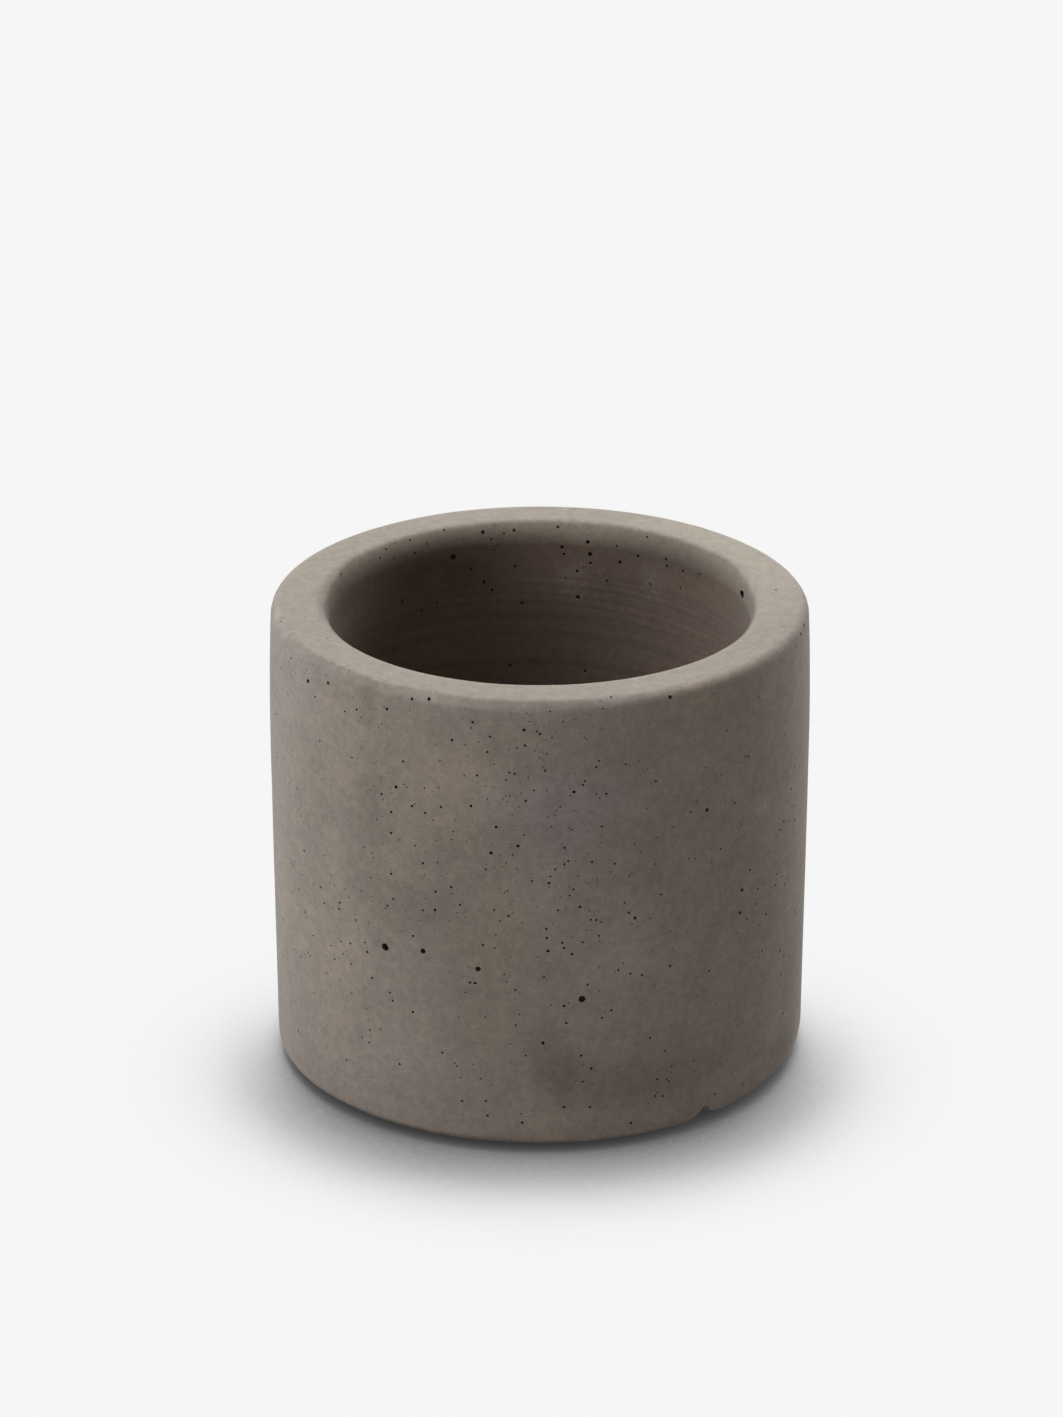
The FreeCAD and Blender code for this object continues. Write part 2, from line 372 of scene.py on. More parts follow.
# rows through corners of (radius, height, round), with each round put in
def roundedRows(part, corners, spacing, steps):
    points = [corners[0][:2]]
    for before, here, after in zip(corners, corners[1:], corners[2:]):
        corner = Vector(here[:2])
        back = (Vector(before[:2]) - corner).normalized()
        ahead = (Vector(after[:2]) - corner).normalized()
        half = back.angle(ahead) / 2
        centre = corner + (back + ahead).normalized() * here[2] / math.sin(half)
        first = corner + back * here[2] / math.tan(half) - centre
        last = corner + ahead * here[2] / math.tan(half) - centre
        for step in range(steps + 1):
            points.append(tuple(centre + first.lerp(last, step / steps).normalized() * here[2]))
    points.append(corners[-1][:2])
    return sectionRows([(part, linePoints(a, b, spacing)) for a, b in zip(points, points[1:])])


# unrolled map: across is the way round, up is the way along the section
def addUnrolled(mesh, corners):
    layer = mesh.uv_layers.new(name="OFBake")
    layer.data.foreach_set("uv", np.clip(corners, 0.0, 1.0).astype(np.float32).ravel())


# closed sections come back to their start, open ones run from the axis to the axis
def turnedMesh(name, rows, segments, relief, middle=Vector((0, 0, 0)), closed=True):
    section = np.array([row[1:] for row in rows])
    ahead = np.roll(section, -1, axis=0) - np.roll(section, 1, axis=0)
    if not closed:
        ahead[0], ahead[-1] = section[1] - section[0], section[-1] - section[-2]
    ahead /= np.linalg.norm(ahead, axis=1, keepdims=True)
    outward = np.stack([ahead[:, 1], -ahead[:, 0]], axis=1)  # right of the way the section runs
    angles = [2 * math.pi * segment / segments for segment in range(segments)]
    turns = [Vector((math.cos(angle), math.sin(angle), 0)) for angle in angles]
    verts = []
    for (part, radius, height), (side, rise) in zip(rows, outward):
        for turn in turns:
            place = middle + turn * radius + upright * height
            verts.append(place - (turn * side + upright * rise) * relief(part, place))
    legs = np.linalg.norm(np.roll(section, -1, axis=0) - section, axis=1)
    if not closed:
        legs[-1] = 0.0
    way = np.concatenate([[0.0], np.cumsum(legs)]) / legs.sum()
    faces, spots = [], []
    for row in range(len(rows) if closed else len(rows) - 1):
        following = (row + 1) % len(rows)
        for segment in range(segments):
            beside = (segment + 1) % segments
            faces.append((row * segments + segment, row * segments + beside,
                          following * segments + beside, following * segments + segment))
            here, there = segment / segments, (segment + 1) / segments
            spots += [(here, way[row]), (there, way[row]), (there, way[row + 1]), (here, way[row + 1])]
    if not closed:
        faces.append(tuple(reversed(range(segments))))
        faces.append(tuple(range((len(rows) - 1) * segments, len(rows) * segments)))
        spots += [(1 - segment / segments, 0.0) for segment in range(segments)]
        spots += [(segment / segments, 1.0) for segment in range(segments)]
    mesh = bpy.data.meshes.new(name)
    mesh.from_pydata(verts, [], faces)
    addUnrolled(mesh, np.array(spots))
    return mesh


# smooth but for edges sharper than so many degrees
def smoothed(mesh, degrees):
    mesh.shade_smooth()
    mesh.set_sharp_from_angle(angle=math.radians(degrees))


def addPiece(name, mesh, material):
    mesh.materials.append(material)
    return addObject(name, mesh)


# pot: a turned concrete shell, a little uneven everywhere
potForm = {
    "segments": 180,
    "sharpEdge": 38,  # degrees
    "shoulderDrop": 41.5 * mm,
    "baseDrawIn": 0.8 * mm,
    "rimDrawIn": 0.8 * mm,
    "wall": 15 * mm,
    "floorThickness": 14 * mm,
    "rimOuterRound": 3.0 * mm,
    "lipWidth": 3.5 * mm,  # the inner edge of the rim, bent down into the mouth
    "lipStart": 70,  # degrees up that the lip faces where it leaves the rim
    "baseRound": 2.2 * mm,
    "floorRound": 9 * mm,
    "drainRadius": 6 * mm,
    "drainRound": 0.9 * mm,
    "drainSteps": 3,
    "wallRow": 2.2 * mm,  # mesh rows up the outside
    "innerRow": 0.8 * mm,  # finer, for the turning lines
    "innerFineDepth": 64 * mm,
    "flatRow": 2.4 * mm,
    "roundSteps": 9,
}
# how deep each part's unevenness goes, and how long its waves are
potRelief = {
    "underside": ((0.06 * mm, 12 * mm),),
    "baseEdge": ((0.26 * mm, 11 * mm), (0.16 * mm, 4 * mm)),
    "outside": ((0.10 * mm, 34 * mm), (0.04 * mm, 9 * mm)),
    "rim": ((0.16 * mm, 22 * mm), (0.07 * mm, 6 * mm)),
    "inside": ((0.14 * mm, 26 * mm), (0.04 * mm, 7 * mm)),
    "floor": ((0.14 * mm, 18 * mm), (0.06 * mm, 5 * mm)),
    "drain": ((0.08 * mm, 5 * mm),),
}
turningLines = {"depth": 0.03 * mm, "pitch": 1.9 * mm, "run": 90 * mm, "shift": (3.1, 7.7)}
# the base edge is worn rounder on one side: degrees round from the camera to the right, then how deep
baseWear = {"bearing": 66, "spread": 22, "near": 3.5 * mm, "depth": 0.9 * mm}


# outside radius at a height above the underside: straight to the shoulder, then a tangent bow to the rim
def outsideRadius(height):
    widest = potHigh.y
    shoulder = potHigh.z - potLow.z - potForm["shoulderDrop"]
    lean = potForm["baseDrawIn"] / shoulder
    if height <= shoulder:
        return widest - (shoulder - height) * lean
    share = (height - shoulder) / potForm["shoulderDrop"]
    reached = potForm["rimDrawIn"] + lean * potForm["shoulderDrop"]
    return widest + lean * (height - shoulder) - reached * share**2


mouthRadius = outsideRadius(potHigh.z - potLow.z) - potForm["wall"]
cavityFloor = potLow.z + potForm["floorThickness"]
# the rim's flat top lies between these two radii
lipEdge = mouthRadius + potForm["lipWidth"]
rimEdge = outsideRadius(potHigh.z - potLow.z - potForm["rimOuterRound"]) - potForm["rimOuterRound"]


# from the drain's lower edge outward, up, in and back down
def potSection():
    form = potForm
    base, rim, floor, mouth = potLow.z, potHigh.z, cavityFloor, mouthRadius
    drain, ease = form["drainRadius"], form["drainRound"]
    baseEase, outerEase, floorEase = form["baseRound"], form["rimOuterRound"], form["floorRound"]
    steps, fewSteps, flat = form["roundSteps"], form["drainSteps"], form["flatRow"]
    baseMiddle = (outsideRadius(baseEase) - baseEase, base + baseEase)
    lipTurn = math.radians(form["lipStart"])
    lipBend = form["lipWidth"] / (1 - math.cos(lipTurn))
    lipFoot = rim - lipBend * math.sin(lipTurn)
    wall = []
    for height, _ in linePoints((baseEase, 0), (rim - base - outerEase, 0), form["wallRow"]):
        wall.append((outsideRadius(height), base + height))
    fineEnd = lipFoot - form["innerFineDepth"]
    return sectionRows((
        ("underside", linePoints((drain + ease, base), (outsideRadius(0) - baseEase, base), flat * 2)),
        ("baseEdge", arcPoints(baseMiddle, baseEase, -90, 0, steps)),
        ("outside", wall),
        ("rim", arcPoints((rimEdge, rim - outerEase), outerEase, 0, 90, steps)),
        ("rim", linePoints((rimEdge, rim), (lipEdge, rim), flat / 2)),
        ("rim", arcPoints((mouth + lipBend, lipFoot), lipBend, 180 - form["lipStart"], 180, steps)),
        ("inside", linePoints((mouth, lipFoot), (mouth, fineEnd), form["innerRow"])),
        ("inside", linePoints((mouth, fineEnd), (mouth, floor + floorEase), flat)),
        ("inside", arcPoints((mouth - floorEase, floor + floorEase), floorEase, 0, -90, steps)),
        ("floor", linePoints((mouth - floorEase, floor), (drain + ease, floor), flat)),
        ("drain", arcPoints((drain + ease, floor - ease), ease, 90, 180, fewSteps)),
        ("drain", linePoints((drain, floor - ease), (drain, base + ease), flat)),
        # stops short of the underside's first point, which closes the section
        ("drain", arcPoints((drain + ease, base + ease), ease, 180, 265, fewSteps)),
    ))


def unitNoise(place):
    return 0.5 + 0.5 * noise.noise(place)


def wornBase(place):
    away = math.hypot(math.hypot(place.x, place.y) - outsideRadius(0), place.z - potLow.z)
    bearing = math.degrees(math.atan2(place.x, -place.y))
    turn = (bearing - baseWear["bearing"]) / baseWear["spread"]
    return baseWear["depth"] * math.exp(-turn**2 - (away / baseWear["near"])**2)


# unevenness only goes into the concrete, so the pot stays within its packed size
def potUneven(part, place):
    depth = wornBase(place)
    for size, wave in potRelief[part]:
        depth += size * unitNoise(place / wave)
    if part == "inside":
        lines = turningLines
        aside, back = lines["shift"]
        along = (place.x / lines["run"] + aside, place.y / lines["run"] + back, place.z / lines["pitch"])
        depth += lines["depth"] * max(0.0, noise.noise(Vector(along)))
    return depth


potRows = potSection()
potMesh = turnedMesh("concretePot", potRows, potForm["segments"], potUneven)
pot = addObject("concretePot", potMesh)
potTree = BVHTree.FromPolygons([v.co for v in potMesh.vertices], [p.vertices for p in potMesh.polygons])
print("pot turned:", len(potRows), "rows,", len(potMesh.polygons), "faces")


# where the photograph shows a spot of the pot
def potSpot(pixel):
    place, normal, *_ = potTree.ray_cast(*photoRay(pixel))
    return place, normal


# noise layers: waves to the metre and how the noise is made, the levels that count and the tones they get
def layerNoise(tree, place, layer):
    sockets = {"Vector": place, "Scale": layer["waves"], "Detail": layer["detail"]}
    sockets.update({"Roughness": layer["rough"], "Distortion": layer.get("swirl", 0.0)})
    return addNode(tree, "ShaderNodeTexNoise", sockets).outputs[0]


def layerTone(tree, place, layer):
    return stretch(tree, layerNoise(tree, place, layer), *layer["span"], *layer.get("tones", (0.0, 1.0)))


# noise shifted to lie about nought
def layerWave(tree, place, layer):
    return calc(tree, "SUBTRACT", layerNoise(tree, place, layer), 0.5)


# node groups that more than one material uses
grainMix = {"coarse": 0.32, "fineTone": 0.65, "coarseTone": 0.35, "coarseHeight": 1.5}
grainSpan = (0.3, 0.7)  # most of the grain's tones lie between these
patchFade = (1.3, 0.1)  # radii from a patch's middle where it begins and where it is whole
dustFacing = (0.25, 0.95)  # how much a surface faces up, from no dust to full dust
dustDrift = dict(waves=260.0, detail=5.0, rough=0.65, span=(0.38, 0.68))


def makeSandGrain():
    inputs = {"Vector": (0, 0, 0), "Grains": 700.0}
    tree, given, put = newGroup("sandGrain", inputs, ("Tone", "Height"))
    fine = layerNoise(tree, given["Vector"], dict(waves=given["Grains"], detail=3.0, rough=0.6))
    fewer = times(tree, given["Grains"], grainMix["coarse"])
    coarse = layerNoise(tree, given["Vector"], dict(waves=fewer, detail=2.0, rough=0.5))
    fineTone = times(tree, fine, grainMix["fineTone"])
    coarseTone = times(tree, coarse, grainMix["coarseTone"])
    tree.links.new(plus(tree, fineTone, coarseTone), put["Tone"])
    coarseHeight = times(tree, coarse, grainMix["coarseHeight"])
    tree.links.new(plus(tree, fine, coarseHeight), put["Height"])
    return tree


# a soft round patch with a wandering edge
def makeSoftPatch():
    inputs = {"Vector": (0, 0, 0), "Centre": (0, 0, 0), "Across": 0.01, "Up": 0.01}
    inputs.update({"Wander": 1.6, "Waves": 45.0})
    tree, given, put = newGroup("softPatch", inputs, ("Mask",))
    away = vectorCalc(tree, "SUBTRACT", given["Vector"], given["Centre"])
    away = vectorCalc(tree, "DIVIDE", away, joined(tree, given["Across"], given["Across"], given["Up"]))
    edge = dict(waves=given["Waves"], detail=4.0, rough=0.6)
    shift = times(tree, layerWave(tree, given["Vector"], edge), given["Wander"])
    reach = plus(tree, lengthOf(tree, away), shift)
    tree.links.new(stretch(tree, reach, *patchFade), put["Mask"])
    return tree


# thin dust on what faces up
def makeSettledDust():
    inputs = {"Vector": (0, 0, 0), "Normal": (0, 0, 1), "Amount": 0.5}
    tree, given, put = newGroup("settledDust", inputs, ("Mask",))
    facing = addNode(tree, "ShaderNodeSeparateXYZ", {0: given["Normal"]}).outputs["Z"]
    lying = stretch(tree, facing, *dustFacing)
    drift = layerTone(tree, given["Vector"], dustDrift)
    mask = times(tree, times(tree, lying, drift), given["Amount"])
    tree.links.new(mask, put["Mask"])
    return tree


sandGrain = makeSandGrain()
softPatch = makeSoftPatch()
settledDust = makeSettledDust()


def dustOn(tree, place, amount):
    normal = addNode(tree, "ShaderNodeNewGeometry").outputs["Normal"]
    return placeGroup(tree, settledDust, {"Vector": place, "Normal": normal, "Amount": amount})["Mask"]


def bumpFrom(tree, height, strength, distance):
    sockets = {"Height": height, "Strength": strength, "Distance": distance}
    return addNode(tree, "ShaderNodeBump", sockets).outputs["Normal"]


# concrete: drifting tones, patches (some of them painted light and shade), sand grains, a paler rim and a
# dark brown inside whose darkness is painted shade
concrete = {
    "warm": (0.384, 0.334, 0.294),
    "cool": (0.376, 0.331, 0.302),
    "rim": (0.372, 0.334, 0.284),
    # the lip's olive and the inside's brown, darkened far below the wall's as painted shade in the hollow
    "lip": (0.212, 0.184, 0.149),
    "inside": (0.154, 0.114, 0.088),
    "hueStretch": (1, 1, 0.7),  # the drifts of hue are drawn out upward
    "grains": 1100.0,  # to the metre
    "grainTones": (0.93, 1.07),
    "rimOverlap": 0.9 * mm,  # the worn top runs on over the outer edge
    "rimWander": 2.5 * mm,
    "rimBlur": 0.5 * mm,
    "rimInner": (56.9 * mm, 55.5 * mm),  # where the worn top ends on the lip, at the back and at the sides; reaching further down at the sides, it paints light over the lip's painted shade there
    "rimSides": (0.88, 1.0),  # how far round to the side a spot lies, for these two
    "rimInnerWander": 0.3,  # of the wander of its outer edge
    "rimSoft": 0.7 * mm,
    "rimDepth": (2.8 * mm, 1.8 * mm),  # below the rim, where the worn top begins
    "lipBorder": (0.1 * mm, -0.3 * mm),  # from the rim's inner edge
    "lipWander": 2.0 * mm,
    "lipDepth": (4.6 * mm, 6.8 * mm),  # below the rim, where the lip's olive passes into the inside's brown, the painted shade deepening into the hollow
    "marksDepth": (6 * mm, 22 * mm),  # below the rim, where the turning lines come in
    "marksSlant": 0.05,
    "marksStretch": (9, 9, 1000),
    "marksTones": (1.04, 0.85),
    "marksHeight": 0.5,
    "roughness": (0.80, 0.94),
    "bump": 0.22,
    "bumpDepth": 0.25 * mm,
    "dust": 0.35,
    "speckle": {"Waves": 1100.0, "Wander": 6.0},  # breaks a patch up into specks
    "sheen": {"Sheen Weight": 0.22, "Sheen Roughness": 0.4},  # the dusty skin's pale limbs
}
layers = {
    "hue": dict(waves=17.0, detail=3.0, rough=0.5, swirl=0.8, span=(0.42, 0.62)),
    "tone": dict(waves=26.0, detail=4.0, rough=0.55, swirl=0.5, span=(0.25, 0.75), tones=(0.90, 1.10)),
    "cloud": dict(waves=95.0, detail=4.0, rough=0.6, swirl=0.4, span=(0.25, 0.75), tones=(0.93, 1.07)),
    "mottle": dict(waves=420.0, detail=4.0, rough=0.65, swirl=0.4, span=(0.28, 0.72), tones=(0.90, 1.10)),
    "fleck": dict(waves=1500.0, detail=1.0, rough=0.5, span=(0.67, 0.76), tones=(1.0, 1.25)),
    "speck": dict(waves=1000.0, detail=1.0, rough=0.5, swirl=1.0, span=(0.73, 0.80), tones=(1.0, 0.62)),
    "rimBorder": dict(waves=130.0, detail=4.0, rough=0.6),
    "lipBorder": dict(waves=90.0, detail=3.0, rough=0.6),
    "marks": dict(waves=1.0, detail=3.0, rough=0.6, span=(0.40, 0.66)),
}
# soft patches that the photograph shows: pixel, half sizes across and up in millimetres, and how much of
# each colour is left
wallPatches = {
    "upperPurple": ((555, 805), (20, 15), (1.06, 1.08, 1.22)),
    "lowerPurple": ((632, 955), (19, 13), (1.13, 1.11, 1.19)),
    "shoulderPurple": ((660, 735), (15, 8), (1.02, 1.0, 1.06)),
    "middlePale": ((545, 890), (13, 10), (1.10, 1.10, 1.13)),
    "upperLeftPale": ((476, 785), (14, 16), (1.17, 1.17, 1.16)),
    "leftCloud": ((412, 908), (17, 14), (0.84, 0.84, 0.83)),
    "lowerLeftPale": ((325, 940), (14, 22), (1.09, 1.09, 1.08)),
    "lowLeftPale": ((415, 1050), (14, 14), (1.12, 1.12, 1.12)),
    "lowCentreShade": ((495, 960), (15, 14), (0.92, 0.92, 0.92)),
    "baseStreak": ((557, 1074), (9, 17), (0.75, 0.75, 0.75)),
    "lowRightShade": ((670, 1075), (34, 11), (0.86, 0.85, 0.82)),
    "lowRightDark": ((795, 970), (10, 24), (0.80, 0.79, 0.78)),
    "cornerDark": ((784, 1042), (10, 9), (0.658, 0.658, 0.649)),
    "lowMiddleShade": ((592, 1090), (20, 10), (0.85, 0.85, 0.84)),
    "rimSmudge": ((366, 707), (4, 8), (0.80, 0.81, 0.78)),
    "leftStreak": ((374, 800), (7, 30), (0.86, 0.86, 0.85)),
    "leftShade": ((312, 785), (12, 24), (0.90, 0.90, 0.90)),
    "leftEdgeYellow": ((283, 900), (9, 28), (1.10, 1.13, 1.08)),
    "frontEdgeShade": ((515, 702), (28, 1.3), (0.74, 0.74, 0.72)),
    "leftEdgeShade": ((345, 668), (34, 3.4), (0.72, 0.72, 0.71)),
}
wallScuffs = {
    "rightScuff": ((765, 805), (3.6, 2.6), (1.30, 1.31, 1.32)),
    "smallScuff": ((425, 875), (2.4, 3.4), (1.24, 1.24, 1.25)),
}
# those on the lip and the inside, all painted light and shade: a shadow under the lip on the left, shade on
# the left wall and on the lip at the right, light deeper on the left and on the back wall
innerPaintedLightAndShade = {
    "underLipLeftShadow": ((340, 606), (18, 7), (0.42, 0.38, 0.32)),
    "leftWallShade": ((420, 575), (22, 7), (0.72, 0.66, 0.58)),
    "leftDeepLight": ((430, 645), (22, 16), (1.22, 1.20, 1.12)),
    "lipRightShade": ((680, 557), (20, 5), (0.72, 0.72, 0.71)),
    "backPale": ((548, 565), (18, 10), (1.36, 1.36, 1.36)),
}
innerScuffs = {
    "scuffLeft": ((435, 578), (3.75, 4), (1.36, 1.48, 1.72)),
    "scuffMiddle": ((571, 580), (3.75, 5), (1.34, 1.45, 1.66)),
    "scuffRight": ((652, 582), (3, 5), (1.24, 1.33, 1.48)),
}
# those on the rim
rimPatches = {
    "rightPale": ((735, 556), (42, 2.0), (1.17, 1.17, 1.16)),
    "backPale": ((520, 513), (30, 2.0), (1.05, 1.05, 1.05)),
    "frontRightPale": ((672, 690), (30, 1.1), (1.10, 1.10, 1.10)),
}


def patchedColour(tree, place, colour, patches, within=1.0, **edge):
    for pixel, (across, up), left in patches.values():
        centre, _ = potSpot(pixel)
        inputs = {"Vector": place, "Centre": centre, "Across": across * mm, "Up": up * mm, **edge}
        mask = times(tree, placeGroup(tree, softPatch, inputs)["Mask"], within)
        colour = tint(tree, mask, colour, tint(tree, 1.0, colour, left, "MULTIPLY"))
    return colour


def wallColour(tree, place, tone):
    hue = layerTone(tree, vectorCalc(tree, "MULTIPLY", place, concrete["hueStretch"]), layers["hue"])
    colour = tint(tree, hue, concrete["warm"], concrete["cool"])
    layer = layers["tone"]
    colour = dimmed(tree, colour, stretch(tree, tone, *layer["span"], *layer["tones"]))
    colour = dimmed(tree, colour, layerTone(tree, place, layers["cloud"]))
    colour = patchedColour(tree, place, colour, wallPatches)
    return patchedColour(tree, place, colour, wallScuffs, **concrete["speckle"])


# everything within the rim's inner edge, and of that what lies below the lip; these masks lay the painted
# shade of the lip and the inside
def innerMasks(tree, place, radius, below):
    outermost, innermost = concrete["lipBorder"]
    inner = stretch(tree, radius, lipEdge + outermost, lipEdge + innermost)
    wave = times(tree, layerWave(tree, place, layers["lipBorder"]), concrete["lipWander"])
    deep = stretch(tree, plus(tree, below, wave), *concrete["lipDepth"])
    return inner, times(tree, inner, deep)


# long thin lines left by the core that shaped the inside, a little out of level
def turningMarks(tree, parts, below, inside):
    slant = plus(tree, parts["Z"], times(tree, parts["X"], concrete["marksSlant"]))
    along = joined(tree, parts["X"], parts["Y"], slant)
    along = vectorCalc(tree, "MULTIPLY", along, concrete["marksStretch"])
    marked = times(tree, inside, stretch(tree, below, *concrete["marksDepth"]))
    return times(tree, layerTone(tree, along, layers["marks"]), marked)


# the lip's and the inside's colours, which paint shade into the hollow, then the turning lines, the inner
# patches of painted light and shade, and the scuffs
def innerColourAndShade(tree, place, colour, inner, inside, marks):
    colour = tint(tree, inner, colour, concrete["lip"])
    colour = tint(tree, inside, colour, concrete["inside"])
    colour = dimmed(tree, colour, stretch(tree, marks, 0.0, 1.0, *concrete["marksTones"]))
    colour = patchedColour(tree, place, colour, innerPaintedLightAndShade, inner)
    return patchedColour(tree, place, colour, innerScuffs, inner, **concrete["speckle"])


# the rim's worn flat top, which wanders over its outer edge and runs out softly on the lip
def rimMask(tree, place, parts, radius, below):
    wave = layerWave(tree, place, layers["rimBorder"])
    wave = times(tree, wave, concrete["rimWander"])
    border, blur = rimEdge + concrete["rimOverlap"], concrete["rimBlur"]
    outer = stretch(tree, plus(tree, radius, wave), border + blur, border - blur)
    # further down the lip at the sides, which paints light there over the lip's painted shade
    sideways = calc(tree, "DIVIDE", calc(tree, "ABSOLUTE", parts["X"]), radius)
    border = stretch(tree, sideways, *concrete["rimSides"], *concrete["rimInner"])
    wave = times(tree, wave, concrete["rimInnerWander"])
    inward = calc(tree, "SUBTRACT", plus(tree, radius, wave), border)
    inner = stretch(tree, inward, -concrete["rimSoft"], concrete["rimSoft"])
    top = stretch(tree, below, *concrete["rimDepth"])
    return times(tree, times(tree, outer, inner), top)


# the paler rim, a mottle over everything and the rim's own patches
def rimColour(tree, place, colour, mask):
    colour = tint(tree, mask, colour, concrete["rim"])
    colour = dimmed(tree, colour, layerTone(tree, place, layers["mottle"]))
    return patchedColour(tree, place, colour, rimPatches)


def sandyColour(tree, place, colour, grainTone):
    colour = dimmed(tree, colour, stretch(tree, grainTone, *grainSpan, *concrete["grainTones"]))
    fleck = layerTone(tree, place, layers["fleck"])
    speck = layerTone(tree, place, layers["speck"])
    return dimmed(tree, colour, times(tree, fleck, speck))


def concreteMaterial():
    material, tree = newMaterial("castConcrete")
    place = spotOf(tree)
    parts = addNode(tree, "ShaderNodeSeparateXYZ", {0: place}).outputs
    radius = lengthOf(tree, joined(tree, parts["X"], parts["Y"], 0.0))
    below = calc(tree, "SUBTRACT", potHigh.z, parts["Z"])
    tone = layerNoise(tree, place, layers["tone"])
    inner, inside = innerMasks(tree, place, radius, below)
    marks = turningMarks(tree, parts, below, inside)
    colour = innerColourAndShade(tree, place, wallColour(tree, place, tone), inner, inside, marks)
    colour = rimColour(tree, place, colour, rimMask(tree, place, parts, radius, below))
    dust = times(tree, dustOn(tree, place, concrete["dust"]), inside)
    colour = tint(tree, dust, colour, concrete["warm"])
    grain = placeGroup(tree, sandGrain, {"Vector": place, "Grains": concrete["grains"]})
    colour = sandyColour(tree, place, colour, grain["Tone"])
    lines = times(tree, marks, concrete["marksHeight"])
    height = calc(tree, "SUBTRACT", grain["Height"], lines)
    normal = bumpFrom(tree, height, concrete["bump"], concrete["bumpDepth"])
    rough = stretch(tree, tone, *grainSpan, *concrete["roughness"])
    showSolid(tree, colour, rough, normal, concrete["sheen"])
    return material


# the pits' inside, painted near black as painted shade in the hollows
pitPaintedShade = {
    "dark": (0.015, 0.012, 0.0095),
    "pale": (0.030, 0.024, 0.019),
    "paleSpan": (0.35, 0.65),
    "grains": 1500.0,
    "roughness": (0.86, 0.98),
    "bump": 0.4,
    "bumpDepth": 0.1 * mm,
}


def pitPaintedShadeMaterial():
    material, tree = newMaterial("pitPaintedShadeConcrete")
    place = spotOf(tree)
    grain = placeGroup(tree, sandGrain, {"Vector": place, "Grains": pitPaintedShade["grains"]})
    share = stretch(tree, grain["Tone"], *pitPaintedShade["paleSpan"])
    colour = tint(tree, share, pitPaintedShade["dark"], pitPaintedShade["pale"])
    normal = bumpFrom(tree, grain["Height"], pitPaintedShade["bump"], pitPaintedShade["bumpDepth"])
    rough = stretch(tree, grain["Tone"], *grainSpan, *pitPaintedShade["roughness"])
    showSolid(tree, colour, rough, normal)
    return material


# air pits, cut into the shell
# those that stand out in the photograph: pixels right and down, then the radius in millimetres
photoPits = {
    "lowerLeft": (
        (385, 947, 1.10), (423, 951, 0.78), (478, 969, 0.74), (435, 910, 0.42), (460, 905, 0.36),
        (413, 936, 0.36), (483, 945, 0.36), (475, 983, 0.42), (413, 1012, 0.38), (370, 1030, 0.32),
        (351, 964, 0.32), (372, 978, 0.36),
    ),
    "upperLeft": (
        (396, 787, 0.52), (391, 812, 0.40), (391, 833, 0.44), (441, 807, 0.38), (412, 806, 0.38),
        (471, 806, 0.42), (452, 740, 0.42),
    ),
    "middle": (
        (491, 853, 0.52), (518, 846, 0.48), (496, 827, 0.44), (549, 883, 0.42), (548, 951, 0.48),
        (572, 954, 0.40), (564, 948, 0.36), (580, 907, 0.40), (574, 792, 0.48), (524, 730, 0.46),
        (540, 734, 0.38),
    ),
    "lowMiddle": (
        (582, 999, 0.95), (564, 1006, 0.42), (543, 1043, 0.50), (650, 1038, 0.34), (665, 1051, 0.32),
        (642, 975, 0.36), (670, 966, 0.40),
    ),
    "right": (
        (635, 918, 0.50), (707, 810, 0.56), (742, 890, 0.56), (740, 913, 0.54), (766, 914, 0.40),
        (632, 924, 0.30),
    ),
    "nearBase": (
        (631, 1123, 0.38), (564, 1107, 0.42), (590, 1107, 0.36), (663, 1096, 0.34), (655, 1096, 0.34),
        (715, 1094, 0.34), (462, 1101, 0.36), (486, 1101, 0.36),
    ),
    "underRim": (
        (308, 681, 0.62), (328, 683, 0.52), (315, 697, 0.38), (387, 709, 0.46), (412, 699, 0.40),
        (429, 699, 0.50), (611, 697, 0.34), (670, 697, 0.54),
    ),
    "rim": ((776, 590, 0.40), (804, 625, 0.50), (801, 634, 0.48)),
    "inside": (
        (483, 532, 0.55), (514, 530, 0.46), (558, 527, 0.44), (453, 557, 0.90), (562, 547, 0.55),
        (588, 542, 0.60), (590, 554, 0.64), (620, 562, 0.55), (638, 556, 0.48), (578, 597, 0.60),
        (484, 582, 0.52), (492, 590, 0.46), (510, 665, 0.50), (585, 671, 0.40), (410, 540, 0.32),
        (427, 544, 0.34), (386, 549, 0.36), (380, 558, 0.34), (394, 558, 0.30), (402, 602, 0.42),
        (437, 603, 0.42), (421, 611, 0.38), (394, 651, 0.34), (341, 574, 0.36), (444, 530, 0.36),
        (494, 550, 0.34), (491, 539, 0.32), (471, 569, 0.42), (515, 566, 0.36), (522, 603, 0.48),
        (577, 571, 0.44), (564, 554, 0.42), (617, 546, 0.34), (666, 559, 0.42), (667, 566, 0.42),
        (683, 571, 0.40), (700, 574, 0.32), (650, 584, 0.34), (647, 537, 0.32),
    ),
}
sidePit = {"pixel": (742, 594), "radius": 1.7, "tall": 0.55}  # on the inner right of the lip, seen edge on
